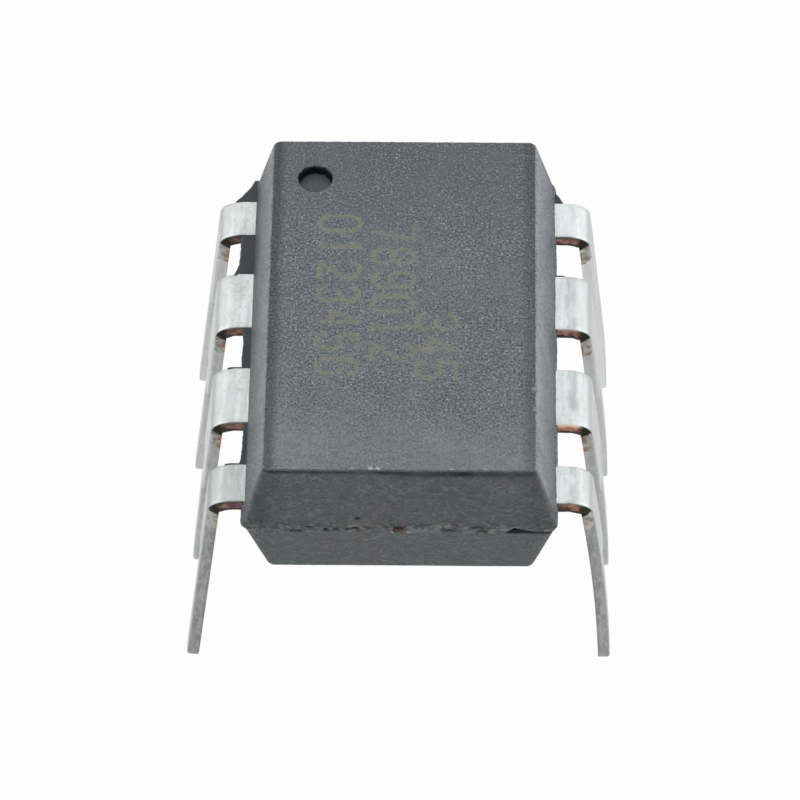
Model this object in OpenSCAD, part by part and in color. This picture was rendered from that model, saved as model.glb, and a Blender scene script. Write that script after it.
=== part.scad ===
// Dual in-line integrated circuit package: a moulded body on eight formed leads.
// X runs across the two lead rows, Y along the body and Z up. Lead tips stand on Z = 0.
// Lead 1 is at -X, +Y, beside the round mark. Numbers run down the -X row and up the +X row.

/* [Body] */
// Length of the moulding at the parting plane
body_length = 9.25; // [8.4:0.05:10.6]
// Width of the moulding at the parting plane
body_width = 6.36; // [5.4:0.05:7.6]
// Height of the moulding above the parting plane
upper_height = 1.62; // [1.3:0.02:2]
// Height of the moulding below the parting plane
lower_height = 1.54; // [1.3:0.02:2]
// How far each long side leans in from the parting plane to the top
upper_side_lean = 0.42; // [0.1:0.01:0.6]
// How far each end leans in from the parting plane to the top
upper_end_lean = 0.23; // [0.1:0.01:0.6]
// How far each long side leans in from the parting plane to the underside
lower_side_lean = 0.45; // [0.1:0.01:0.6]
// How far each end leans in from the parting plane to the underside
lower_end_lean = 0.23; // [0.1:0.01:0.6]

/* [Marks] */
// Diameter of the round recess beside lead 1
dot_diameter = 0.72; // [0.4:0.02:1.2]
// Depth of the round recess
dot_depth = 0.2; // [0.05:0.01:0.4]
// Centre of the recess, inward from the long top edge
dot_inset_x = 0.9; // [0.6:0.02:1.6]
// Centre of the recess, inward from the end top edge
dot_inset_y = 1.02; // [0.6:0.02:1.6]
// Diameter of the two ejector pin marks in the underside
ejector_diameter = 1.2; // [0.8:0.05:1.6]
// Depth of the ejector pin marks
ejector_depth = 0.04; // [0.02:0.01:0.1]
// Centre of each ejector pin mark, inward from the end's bottom edge
ejector_inset = 1.6; // [1.2:0.05:2.2]

/* [Mould flash] */
// Thickness of the flash at the parting plane, as a rule that of the lead sheet
flash_thickness = 0.25; // [0.1:0.01:0.36]
// Width of the lip of flash round the body
flash_lip = 0.03; // [0.01:0.005:0.08]
// Reach of the flash from the lip between leads 1 and 2, at its lead 1 end
web_reach_12 = 0.25; // [0.05:0.01:0.35]
// Reach of the same flash where it meets lead 2
web_reach_21 = 0.36; // [0.05:0.01:0.4]
// Reach of the flash between leads 2 and 3
web_reach_23 = 0.08; // [0.02:0.01:0.35]
// Reach of the flash between leads 3 and 4, at its lead 3 end
web_reach_34 = 0.03; // [0.02:0.01:0.35]
// Reach of the same flash where it meets lead 4
web_reach_43 = 0.08; // [0.02:0.01:0.35]
// Reach of the flash along the far edge of lead 1
web_reach_1 = 0.38; // [0.05:0.01:0.4]
// Reach of the flash along the far edge of lead 8
web_reach_8 = 0.15; // [0.05:0.01:0.35]
// Run of the corner flash from lead 1 towards the end face
web_run_1 = 0.6; // [0.2:0.05:0.6]
// Run of the corner flash from lead 8 towards the end face
web_run_8 = 0.3; // [0.2:0.05:0.6]

/* [Leads] */
// Spacing of the leads along a row
pitch = 2.54; // [2.3:0.01:2.8]
// Thickness of the lead sheet
sheet = 0.25; // [0.2:0.01:0.36]
// Width of the shoulder of a middle lead
shoulder_width = 1.42; // [1.1:0.02:1.8]
// Width of the lower leg
leg_width = 0.46; // [0.36:0.01:0.56]
// Centre of the shoulder bend, outward from the middle of the body
bend_x = 3.55; // [3.2:0.01:4.4]
// Inner radius of the shoulder bend
bend_radius = 0.13; // [0.1:0.01:0.3]
// Drop of the shoulder's lower end below the parting plane
seat_drop = 2.1; // [1.8:0.05:2.7]
// Drop of the lead tips below the parting plane
tip_drop = 5.2; // [4.4:0.05:6.2]
// Outward lean of the -X row, in degrees
left_splay = 6.8; // [0:0.1:9]
// Outward lean of the +X row at its bend, in degrees
right_splay = 8.2; // [6:0.1:9]
// Radius of the bow in the legs of the +X row
bow_radius = 46; // [38:1:80]
// Width of a leg at its tip
tip_width = 0.3; // [0.2:0.01:0.34]
// Height of the taper at the tip
tip_taper = 0.28; // [0.1:0.02:0.5]
// Length of the cut tie stub on each shoulder edge
stub_length = 0.5; // [0.3:0.02:0.7]
// How far a cut tie stub stands out of the shoulder edge
stub_rise = 0.03; // [0.01:0.005:0.06]

/* [Inside the body] */
// How deep the shoulders run into the body
shoulder_depth = 0.7; // [0.5:0.05:0.8]
// Length of the die paddle along the body
paddle_length = 3.4; // [2.7:0.05:3.6]
// Width of the die paddle
paddle_width = 2.6; // [2.1:0.05:2.9]
// Gap between the paddle and the fingers
finger_gap = 0.34; // [0.25:0.01:0.42]
// Width of the finger ends
finger_width = 0.6; // [0.45:0.01:0.72]
// Width of the two tie bars that end in the end faces
tie_width = 0.3; // [0.24:0.02:0.6]
// Length of the silicon die
die_length = 2; // [1.6:0.05:2.4]
// Width of the silicon die
die_width = 1.6; // [1.3:0.05:1.9]
// Thickness of the silicon die
die_thickness = 0.28; // [0.2:0.01:0.36]
// Thickness of the die attach layer
attach_thickness = 0.03; // [0.02:0.005:0.05]
// Diameter of a bond wire
wire = 0.03; // [0.025:0.005:0.05]
// Diameter of the ball and stitch at the wire's ends
ball = 0.09; // [0.07:0.005:0.12]
// Thickness of the ball and stitch
ball_height = 0.02; // [0.015:0.005:0.03]
// Height at which a wire starts to arch over
wire_rise = 0.14; // [0.1:0.01:0.2]
// Radius of a wire's arch
wire_arch = 0.12; // [0.08:0.01:0.18]
// Diameter of the knuckles where a wire starts and leaves its arch
wire_knuckle = 0.036; // [0.032:0.002:0.06]
// Distance of the bond pads from the die's edges
pad_inset = 0.16; // [0.12:0.01:0.25]

/* [Hidden] */
$fn = 48;
cut = 0.5; // overrun of a cutting solid
half_w = body_width / 2;
half_l = body_length / 2;
top_w = half_w - upper_side_lean;
top_l = half_l - upper_end_lean;
low_w = half_w - lower_side_lean;
low_l = half_l - lower_end_lean;
bend_mid = bend_radius + sheet / 2;
leg_turn = atan(2 * tip_drop / bow_radius); // angle of bow that is sure to pass the tip
lip_w = half_w + flash_lip;
root_x = half_w - shoulder_depth;
die_base = sheet / 2 + attach_thickness;
die_top = die_base + die_thickness;
pad_x = die_width / 2 - pad_inset;
pad_y = die_length / 2 - pad_inset;
side_x = paddle_width / 2 + finger_gap; // inner end of a middle finger
end_y = paddle_length / 2 + finger_gap; // inner end of an end finger
end_x = tie_width / 2 + 2 * finger_gap; // middle of an end finger

// Edges of a shoulder along Y: an end lead keeps only the inner half of its shoulder.
function low_edge(row) = row * pitch - (row < -1 ? leg_width : shoulder_width) / 2;
function high_edge(row) = row * pitch + (row > 1 ? leg_width : shoulder_width) / 2;

// Raises a shape from the parting plane to its place above the tips.
module raised() { translate([0, 0, tip_drop]) children(); }

// Extrudes an X-Z profile along Y between two positions.
module along_y(from, to) {
    translate([0, to, 0]) rotate([90, 0, 0]) linear_extrude(to - from) children();
}

// Part of a ring between two angles less than a half turn apart.
module ring_part(inner, outer, from, to) {
    far = 2 * outer;
    intersection() {
        difference() { circle(outer); circle(inner); }
        polygon([[0, 0], far * [cos(from), sin(from)],
            far * [cos((from + to) / 2), sin((from + to) / 2)], far * [cos(to), sin(to)]]);
    }
}

// Moves to the bend's centre, with -Y running down the leg.
module down_leg(splay) {
    translate([bend_x, -bend_mid]) rotate(splay) children();
}

// X-Z profile of the bent lead, from the shoulder's root to below the tip. A bow of 0 is straight.
module lead_profile(splay, bow) {
    translate([root_x, -sheet / 2]) square([bend_x - root_x, sheet]);
    translate([bend_x, -bend_mid])
        ring_part(bend_radius, bend_radius + sheet, splay, 90);
    down_leg(splay) if (bow > 0) {
        translate([bend_mid - bow, 0])
            ring_part(bow - sheet / 2, bow + sheet / 2, -leg_turn, 0);
    } else {
        translate([bend_radius, -2 * tip_drop]) square([sheet, 2 * tip_drop]);
    }
}

// Plan of the finger inside the body, for a row above the middle.
module finger(row) {
    y = row * pitch;
    if (row > 1) {
        polygon([[root_x, low_edge(row)], [root_x, high_edge(row)],
            [root_x - finger_width, high_edge(row)],
            [end_x - finger_width / 2, end_y + finger_width],
            [end_x - finger_width / 2, end_y], [end_x + finger_width / 2, end_y],
            [end_x + finger_width / 2, end_y + finger_width / 2],
            [root_x - finger_width / 3, low_edge(row)]]);
    } else {
        polygon([[root_x, low_edge(row)], [root_x, high_edge(row)],
            [root_x - finger_width / 3, high_edge(row)],
            [side_x + finger_width / 3, y + finger_width / 2],
            [side_x, y + finger_width / 2], [side_x, y - finger_width / 2],
            [side_x + finger_width / 3, y - finger_width / 2]]);
    }
}

// One lead of the +X side, about the parting plane.
module lead_form(row, splay, bow) {
    y = row * pitch;
    // shoulder, bend and wide part down to the seat
    along_y(low_edge(row), high_edge(row)) intersection() {
        lead_profile(splay, bow);
        translate([0, -seat_drop]) square([2 * bend_x, seat_drop + sheet]);
    }
    // narrow leg with its tapered tip
    intersection() {
        along_y(y - leg_width / 2, y + leg_width / 2) intersection() {
            lead_profile(splay, bow);
            translate([bend_x, -tip_drop]) square([bend_x, tip_drop]);
        }
        translate([bend_x, y, -tip_drop]) rotate([90, 0, 90]) linear_extrude(bend_x)
            polygon([[-tip_width / 2, 0], [tip_width / 2, 0], [leg_width / 2, tip_taper],
                [leg_width / 2, tip_drop], [-leg_width / 2, tip_drop],
                [-leg_width / 2, tip_taper]]);
    }
    // cut tie stubs on both shoulder edges
    along_y(low_edge(row) - stub_rise, high_edge(row) + stub_rise)
        down_leg(splay) translate([bend_radius, -stub_length]) square([sheet, stub_length]);
    // finger inside the body
    translate([0, 0, -sheet / 2]) linear_extrude(sheet)
        if (row > 0) finger(row); else mirror([0, 1]) finger(-row);
}

module left_lead(row) {
    color([0.78, 0.79, 0.79]) raised() mirror([1, 0, 0]) lead_form(row, left_splay, 0);
}

module right_lead(row) {
    color([0.78, 0.79, 0.79]) raised() lead_form(row, right_splay, bow_radius);
}

module lead_1() { left_lead(1.5); }
module lead_2() { left_lead(0.5); }
module lead_3() { left_lead(-0.5); }
module lead_4() { left_lead(-1.5); }
module lead_5() { right_lead(-1.5); }
module lead_6() { right_lead(-0.5); }
module lead_7() { right_lead(0.5); }
module lead_8() { right_lead(1.5); }

// Paddle with its two tie bars, cut off flush with the lip of flash at both ends.
module die_paddle() {
    color([0.72, 0.45, 0.3]) raised() translate([0, 0, -sheet / 2]) linear_extrude(sheet) {
        square([paddle_width, paddle_length], center = true);
        square([tie_width, body_length + 2 * flash_lip], center = true);
    }
}

module die_attach() {
    color([0.7, 0.7, 0.68]) raised() translate([0, 0, sheet / 2 + attach_thickness / 2])
        cube([die_width + 2 * attach_thickness, die_length + 2 * attach_thickness,
            attach_thickness], center = true);
}

module silicon_die() {
    color([0.28, 0.3, 0.36]) raised() translate([0, 0, die_base + die_thickness / 2])
        cube([die_width, die_length, die_thickness], center = true);
}

// Wire from a ball at the origin to a stitch at a distance along X and a depth below.
module wire_form(span, depth) {
    reach = norm([span - wire_arch, wire_rise + depth]);
    fall = atan2(wire_rise + depth, span - wire_arch);
    arch_end = acos(wire_arch / reach) - fall;
    cylinder(d = ball, h = ball_height);
    cylinder(d = wire, h = wire_rise);
    translate([0, 0, wire_rise]) sphere(d = wire_knuckle);
    translate([wire_arch, 0, wire_rise]) rotate([90, 0, 0]) rotate(arch_end)
        rotate_extrude(angle = 180 - arch_end) translate([wire_arch, 0]) circle(d = wire);
    translate([wire_arch * (1 + cos(arch_end)), 0, wire_rise + wire_arch * sin(arch_end)]) {
        sphere(d = wire_knuckle);
        intersection() {
            rotate([0, 180 - arch_end, 0])
                cylinder(d = wire, h = sqrt(reach * reach - wire_arch * wire_arch) + wire);
            translate([-ball, -ball, -wire_rise - depth - wire_arch * sin(arch_end)])
                cube([span, 2 * ball, 2 * (wire_rise + depth + wire_arch)]);
        }
    }
    translate([span, 0, -depth]) cylinder(d = ball, h = ball_height);
}

// Wire of one corner of the die: side is the sign of X and row the lead's row.
module bond(side, row) {
    up = row > 0 ? 1 : -1;
    at_end = abs(row) > 1;
    start = [side * pad_x, up * pad_y * (at_end ? 1 : 0.5)];
    stop = at_end ? [side * end_x, up * (end_y + finger_width / 2)]
        : [side * (side_x + finger_width / 3), row * pitch];
    run = stop - start;
    color([0.95, 0.75, 0.3]) raised() translate([start[0], start[1], die_top])
        rotate(atan2(run[1], run[0])) wire_form(norm(run), die_top - sheet / 2);
}

module bond_wire_1() { bond(-1, 1.5); }
module bond_wire_2() { bond(-1, 0.5); }
module bond_wire_3() { bond(-1, -0.5); }
module bond_wire_4() { bond(-1, -1.5); }
module bond_wire_5() { bond(1, -1.5); }
module bond_wire_6() { bond(1, -0.5); }
module bond_wire_7() { bond(1, 0.5); }
module bond_wire_8() { bond(1, 1.5); }

// Both leaning halves of the moulding.
module moulded_halves() {
    intersection() {
        along_y(-half_l, half_l) polygon([[-top_w, upper_height], [-half_w, 0],
            [-low_w, -lower_height], [low_w, -lower_height], [half_w, 0],
            [top_w, upper_height]]);
        translate([-half_w, 0, 0]) rotate([90, 0, 90]) linear_extrude(body_width)
            polygon([[-top_l, upper_height], [-half_l, 0], [-low_l, -lower_height],
                [low_l, -lower_height], [half_l, 0], [top_l, upper_height]]);
    }
}

// Flash between two leads of the -X row: its reach changes from the far to the near lead.
module web(far_row, far_reach, near_reach) {
    polygon([[-root_x, low_edge(far_row)], [-lip_w - far_reach, low_edge(far_row)],
        [-lip_w - near_reach, high_edge(far_row - 1)], [-root_x, high_edge(far_row - 1)]]);
}

// Flash that runs out along the far edge of an end lead.
module corner_web(side, reach, run) {
    edge = high_edge(1.5);
    polygon([[side * root_x, edge], [side * (lip_w + reach), edge],
        [side * lip_w, edge + run], [side * root_x, edge + run]]);
}

module flash() {
    translate([0, 0, -flash_thickness / 2]) linear_extrude(flash_thickness) {
        square([2 * lip_w, body_length + 2 * flash_lip], center = true);
        web(1.5, web_reach_12, web_reach_21);
        web(0.5, web_reach_23, web_reach_23);
        web(-0.5, web_reach_34, web_reach_43);
        corner_web(-1, web_reach_1, web_run_1);
        corner_web(1, web_reach_8, web_run_8);
    }
}

// Round recess in the top and the ejector pin marks in the underside.
module marks() {
    translate([dot_inset_x - top_w, top_l - dot_inset_y, upper_height - dot_depth])
        cylinder(d = dot_diameter, h = dot_depth + cut);
    for (end = [-1, 1])
        translate([0, end * (low_l - ejector_inset), -lower_height - cut])
            cylinder(d = ejector_diameter, h = ejector_depth + cut);
}

module package_body() {
    color([0.2, 0.2, 0.21]) difference() {
        raised() { moulded_halves(); flash(); }
        raised() marks();
        lead_1(); lead_2(); lead_3(); lead_4();
        lead_5(); lead_6(); lead_7(); lead_8();
        die_paddle(); die_attach(); silicon_die();
        bond_wire_1(); bond_wire_2(); bond_wire_3(); bond_wire_4();
        bond_wire_5(); bond_wire_6(); bond_wire_7(); bond_wire_8();
    }
}

package_body();
lead_1();
lead_2();
lead_3();
lead_4();
lead_5();
lead_6();
lead_7();
lead_8();
die_paddle();
die_attach();
silicon_die();
bond_wire_1();
bond_wire_2();
bond_wire_3();
bond_wire_4();
bond_wire_5();
bond_wire_6();
bond_wire_7();
bond_wire_8();
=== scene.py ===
from math import atan2, cos, pi, radians, sin, tau

import bpy
import numpy as np
from mathutils import Matrix, Vector, noise
from mathutils.geometry import tessellate_polygon


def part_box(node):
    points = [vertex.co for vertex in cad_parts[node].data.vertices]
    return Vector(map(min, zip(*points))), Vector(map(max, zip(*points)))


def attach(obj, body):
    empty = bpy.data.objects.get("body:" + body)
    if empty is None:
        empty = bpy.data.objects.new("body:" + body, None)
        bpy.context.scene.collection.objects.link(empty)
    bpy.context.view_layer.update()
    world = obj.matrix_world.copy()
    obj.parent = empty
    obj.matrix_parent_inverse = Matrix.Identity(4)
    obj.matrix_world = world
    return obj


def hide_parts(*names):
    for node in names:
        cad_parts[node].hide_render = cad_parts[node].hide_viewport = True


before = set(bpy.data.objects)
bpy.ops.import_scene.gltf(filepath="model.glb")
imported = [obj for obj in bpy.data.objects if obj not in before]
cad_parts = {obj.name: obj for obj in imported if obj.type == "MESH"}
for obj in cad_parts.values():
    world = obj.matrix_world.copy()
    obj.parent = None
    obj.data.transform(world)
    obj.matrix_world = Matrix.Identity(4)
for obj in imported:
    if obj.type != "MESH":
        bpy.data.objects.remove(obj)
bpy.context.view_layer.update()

# Sizes are in millimetres about the parting plane of the moulding, with +X to the right of the
# camera, +Y along the body away from it and +Z up. MM turns them into the frame's metres.
MM = 0.001

# Body
HALF_LENGTH = 4.625
HALF_WIDTH = 3.18
UPPER_HEIGHT = 1.62
LOWER_HEIGHT = 1.54
UPPER_SIDE_LEAN = 0.42
UPPER_END_LEAN = 0.23
LOWER_SIDE_LEAN = 0.45
LOWER_END_LEAN = 0.23
CORNER_RADIUS = 0.17
FAR_EXTENT = 0.045
TOP_SINK = 0.01
TOP_EDGE_RADIUS = 0.035
LOW_EDGE_RADIUS = 0.05
EDGE_TURN = radians(78)
FLASH_LIP = 0.03
FLASH_HALF = 0.125
DOT_CENTRE = (-1.86, 3.375)
DOT_RADIUS = 0.36
DOT_DEPTH = 0.21
EJECTOR_RADIUS = 0.6
EJECTOR_DEPTH = 0.04
EJECTOR_INSET = 1.6
EJECTOR_POINTS = 48
NEAR, RIGHT, FAR, LEFT = range(4)

# Leads
PITCH = 2.54
SHEET = 0.25
SHOULDER_WIDTH = 1.42
LEG_WIDTH = 0.46
BEND_X = 3.55
BEND_RADIUS = 0.13
SEAT_DROP = 2.1
TIP_DROP = 5.2
TIP_WIDTH = 0.3
TIP_TAPER = 0.28
LEFT_SPLAY = 6.8
RIGHT_SPLAY = 8.2
BOW_RADIUS = 46
TIP_ROUND = 0.08
SHOULDER_ROLL = 0.022
LEG_ROLL = 0.05
SHARP_EDGE = 0.015
STUB_LENGTH = 0.5
STUB_RISE = 0.03
ROOT_X = 2.48
END_FINGER = (0.83, 2.04)
SIDE_FINGER = 1.64
FINGER_HALF = 0.3

# Height of the parting plane above the lead tips, read from the frame
paddle_low, paddle_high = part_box("die_paddle")
PARTING = (paddle_low[2] + paddle_high[2]) / 2 / MM


def smooth(low, high, value):
    """0 below low, 1 above high and a soft step between. Low may be the larger one."""
    t = np.clip((value - low) / (high - low), 0, 1)
    return t * t * (3 - 2 * t)


def rough(x, y, z=0.0, scale=1.0):
    """Smooth noise from about -1 to 1, with features about 1 / scale mm across."""
    return noise.noise(Vector((x * scale, y * scale, z * scale)))


def add_object(name, data):
    obj = bpy.data.objects.new(name, data)
    bpy.context.scene.collection.objects.link(obj)
    return obj


def make_object(name, points, faces, material, attributes=None):
    """A smooth mesh object from points in mm about the parting plane."""
    mesh = bpy.data.meshes.new(name)
    raised = [(x * MM, y * MM, (z + PARTING) * MM) for x, y, z in points]
    mesh.from_pydata(raised, [], faces)
    mesh.polygons.foreach_set("use_smooth", [True] * len(mesh.polygons))
    for key, values in (attributes or {}).items():
        mesh.attributes.new(key, "FLOAT", "POINT").data.foreach_set("value", values)
    mesh.materials.append(material)
    return add_object(name, mesh)


def put(tree, socket, value):
    """Links a socket to an output, or sets it to a value."""
    if isinstance(value, bpy.types.NodeSocket):
        tree.links.new(value, socket)
    else:
        socket.default_value = value


def add_node(tree, kind, inputs=None, **settings):
    """Adds a node. Its inputs go by name or number."""
    node = tree.nodes.new("ShaderNode" + kind)
    for key, value in settings.items():
        setattr(node, key, value)
    for key, value in (inputs or {}).items():
        put(tree, node.inputs[key], value)
    return node


class Shader:
    """Builds a material's nodes. Its colours are linear, and are called by their names."""

    def __init__(self, name, **colours):
        self.colours = colours
        self.material = bpy.data.materials.new(name)
        self.material.use_nodes = True
        self.tree = self.material.node_tree
        self.tree.nodes.clear()
        self.surface = add_node(self.tree, "BsdfPrincipled")
        add_node(self.tree, "OutputMaterial", {"Surface": self.surface.outputs[0]})
        place = add_node(self.tree, "TexCoord").outputs["Object"]
        self.mm = self.output("VectorMath", {0: place, "Scale": 1 / MM}, operation="SCALE")

    def output(self, kind, inputs, **settings):
        """The first output of a new node."""
        return add_node(self.tree, kind, inputs, **settings).outputs[0]

    def noise(self, scale, detail=2.0, stretch=(1, 1, 1), distortion=0.0, roughness=0.5):
        place = self.mm
        if stretch != (1, 1, 1):
            place = self.output("Mapping", {"Vector": place, "Scale": stretch})
        return self.output("TexNoise", {
            "Vector": place, "Scale": scale, "Detail": detail, "Distortion": distortion,
            "Roughness": roughness})

    def cells(self, scale):
        """Distance to the nearest scattered point, and a random value for each point."""
        found = add_node(self.tree, "TexVoronoi", {"Vector": self.mm, "Scale": scale}).outputs
        return found["Distance"], self.output("SeparateColor", {0: found["Color"]})

    def attribute(self, name):
        return add_node(self.tree, "Attribute", attribute_name=name).outputs["Fac"]

    def steps(self, value, low, high, to_low=0.0, to_high=1.0):
        """A smooth step of a value from to_low at low to to_high at high."""
        return self.output("MapRange", {
            "Value": value, "From Min": low, "From Max": high, "To Min": to_low,
            "To Max": to_high}, interpolation_type="SMOOTHSTEP")

    def math(self, operation, a, b=0.0):
        return self.output("Math", {0: a, 1: b}, operation=operation)

    def times(self, product, *factors):
        for factor in factors:
            product = self.math("MULTIPLY", product, factor)
        return product

    def mix(self, factor, a, b):
        """Mix of two colours, each a name or an output."""
        node = add_node(self.tree, "Mix", {"Factor": factor}, data_type="RGBA")
        for key, colour in (("A", a), ("B", b)):
            socket = [s for s in node.inputs if s.name == key and s.type == "RGBA"][0]
            named = isinstance(colour, str)
            put(self.tree, socket, (*self.colours[colour], 1) if named else colour)
        return [s for s in node.outputs if s.type == "RGBA"][0]

    def lay(self, base, colour, *factors):
        """Lays a colour over a base, as strongly as the product of the factors."""
        return self.mix(self.times(*factors), base, colour)

    def bump(self, height, depth_mm, strength=1.0, below=None):
        inputs = {"Height": height, "Distance": depth_mm * MM, "Strength": strength}
        if below is not None:
            inputs["Normal"] = below
        return self.output("Bump", inputs)

    def finish(self, colour, roughness, normal, metallic=0.0, specular=0.5):
        for key, value in (("Base Color", colour), ("Roughness", roughness), ("Normal", normal),
                           ("Metallic", metallic), ("Specular IOR Level", specular)):
            put(self.tree, self.surface.inputs[key], value)
        return self.material


def moulding_material():
    """Grained dark epoxy with bright filler specks and faint olive marks, with painted side light
    on its walls and painted shade in its hollows and along its edges.
    """
    s = Shader("moulded_epoxy",
        dark=(0.086, 0.099, 0.109), pale_and_painted_side_light=(0.346, 0.38, 0.406),
        green=(0.068, 0.092, 0.085), plum=(0.1, 0.092, 0.096),
        crease=(0.05, 0.057, 0.058), fold=(0.165, 0.178, 0.176),
        patch=(0.07, 0.076, 0.092), wrinkle=(0.06, 0.066, 0.07),
        pit=(0.038, 0.044, 0.057), peak=(0.29, 0.31, 0.34), speck=(0.52, 0.545, 0.58),
        ink=(0.225, 0.23, 0.165), tear=(0.03, 0.033, 0.036), shred=(0.236, 0.238, 0.236),
        chip=(0.6, 0.595, 0.6), hollow=(0.006, 0.007, 0.009))
    torn, flow, hollow = s.attribute("torn"), s.attribute("flow"), s.attribute("hollow")
    coarse = s.times(s.attribute("coarse"), s.steps(s.noise(0.9, 2), 0.3, 0.6, 0.6, 1.0))
    # Paler where painted side light falls on the walls, and towards the near end of the top
    base = s.mix(s.attribute("pale_and_painted_side_light"), "dark", "pale_and_painted_side_light")
    tint = s.noise(1.7, 4, distortion=1.2)
    base = s.lay(base, "green", flow, s.steps(tint, 0.46, 0.6, 0.0, 0.85))
    base = s.lay(base, "plum", flow, s.steps(tint, 0.46, 0.36, 0.0, 0.85))
    crease = s.noise(7, 2, stretch=(1, 1, 1.5), distortion=1.2, roughness=0.55)
    base = s.lay(base, "crease", flow, s.steps(crease, 0.48, 0.36, 0.0, 0.75))
    base = s.lay(base, "fold", flow, s.steps(crease, 0.53, 0.64, 0.0, 0.75))
    base = s.lay(base, "patch", s.steps(s.noise(1.1, 3), 0.62, 0.4, 0.0, 0.22))
    wrinkle = s.noise(6, 4, stretch=(0.7, 1, 1.3), distortion=0.8)
    base = s.lay(base, "wrinkle", s.steps(wrinkle, 0.5, 0.36, 0.0, 0.3))
    grain = s.noise(21, 2, roughness=0.6)
    base = s.lay(base, "pit", s.steps(grain, 0.5, 0.36), coarse, 0.8)
    base = s.lay(base, "peak", s.steps(grain, 0.52, 0.68), coarse, 0.65)
    reach, chance = s.cells(19)
    speck = s.times(s.steps(reach, 0.5, 0.15), s.steps(chance, 0.72, 0.92))
    base = s.lay(base, "speck", speck, s.steps(s.noise(30, 2), 0.38, 0.55), coarse, 0.7)
    worn = s.times(s.attribute("mark"), s.steps(s.noise(9, 4), 0.34, 0.56, 0.3, 0.9))
    base = s.lay(base, "ink", worn, s.steps(s.noise(26, 2), 0.36, 0.54, 0.4, 1.0))
    shred = s.noise(7, 3, stretch=(1, 1, 1.5), distortion=0.5)
    base = s.lay(base, "tear", torn, s.steps(shred, 0.49, 0.36, 0.0, 0.85))
    base = s.lay(base, "shred", torn, s.steps(shred, 0.5, 0.66, 0.0, 0.75))
    base = s.lay(base, "chip", s.attribute("chip"))
    # Near-black laid by the hollow attribute: painted shade in the torn pits, the gap, under the
    # near top edge, on the recess and along the top's long edges; it also darkens the foot of the
    # left wall and the low part of the ends.
    base = s.lay(base, "hollow", hollow)
    specular = s.steps(hollow, 0.3, 1.0, 0.5, 0.05)
    normal = s.bump(s.noise(2.4, 5, distortion=1.5), 0.06, 0.5)
    normal = s.bump(wrinkle, 0.02, 0.5, normal)
    normal = s.bump(crease, 0.045, flow, normal)
    normal = s.bump(grain, 0.022, coarse, normal)
    roughness = s.steps(coarse, 0.0, 1.0, 0.52, 0.62)
    return s.finish(base, roughness, normal, specular=specular)


def flash_material():
    """Thin resin flash, darker and smoother than the body."""
    s = Shader("mould_flash_resin", dark=(0.019, 0.024, 0.032), light=(0.035, 0.041, 0.05))
    base = s.mix(s.noise(3, 3), "dark", "light")
    return s.finish(base, 0.55, s.bump(s.noise(11, 3), 0.01, 0.5))


# Run is the distance along a lead, in mm. It has this value where the dam bar's stub starts.
RUN_AT_STUB = 1.5


def plate_colour(s, run, streak):
    """Streaked tin, smeared above the bend and flecked, as each lead's finish says, with painted
    shade over the bend.
    """
    tin = s.mix(s.steps(streak, 0.32, 0.64), "streak", "plate")
    tin = s.lay(tin, "cloud", s.steps(s.noise(1.6, 3), 0.45, 0.7), 0.4)
    tin = s.lay(tin, "shade", s.steps(run, 1.6, 1.4, 0.0, 0.4))
    # Painted shade darkens the tin over the bend
    tin = s.lay(tin, "bend", s.steps(run, 1.22, 1.38), s.steps(run, 1.62, 1.46), 0.6)
    wander = s.steps(s.noise(2.2, 3, stretch=(0.3, 1, 0.3)), 0.3, 0.7, -0.035, 0.035)
    place = s.math("ADD", run, wander)
    drag = s.times(s.steps(place, 1.01, 1.09), s.steps(place, 1.28, 1.15),
                   s.steps(s.noise(1.3, 3), 0.3, 0.46))
    smear = s.noise(7, 3, stretch=(1, 0.25, 1))
    tin = s.lay(tin, "smear", drag, s.steps(smear, 0.34, 0.6, 0.5, 1.0), s.attribute("drag"))
    tin = s.lay(tin, "speckle", s.steps(s.noise(16, 3), 0.5, 0.68), 0.3)
    fleck = s.steps(s.noise(11, 4, stretch=(1, 0.7, 1), roughness=0.7), 0.54, 0.68)
    tin = s.lay(tin, "fleck", fleck, s.attribute("flecks"))
    tin = s.lay(tin, "darker_plate", s.attribute("darker_plate"))
    tin = s.lay(tin, "bright", s.attribute("bright"))
    return s.lay(tin, "shade", s.steps(run, 1.5, 1.7, 0.0, 0.35))


def leg_edge_colour(s, through):
    """Brushed and dented tin on the cut edges of the legs, darker along its corners."""
    brushed = s.steps(s.noise(9, 5, stretch=(1, 1, 0.35), distortion=0.6), 0.34, 0.66)
    grey = s.mix(brushed, "cut", "brushed")
    grey = s.lay(grey, "outline", s.steps(s.math("ABSOLUTE", through), 0.5, 0.85, 0.0, 0.42))
    grey = s.lay(grey, "dent", s.steps(s.noise(5, 4, distortion=1.5), 0.38, 0.3, 0.0, 0.5))
    return s.lay(grey, "faded", s.attribute("fade"))


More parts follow.
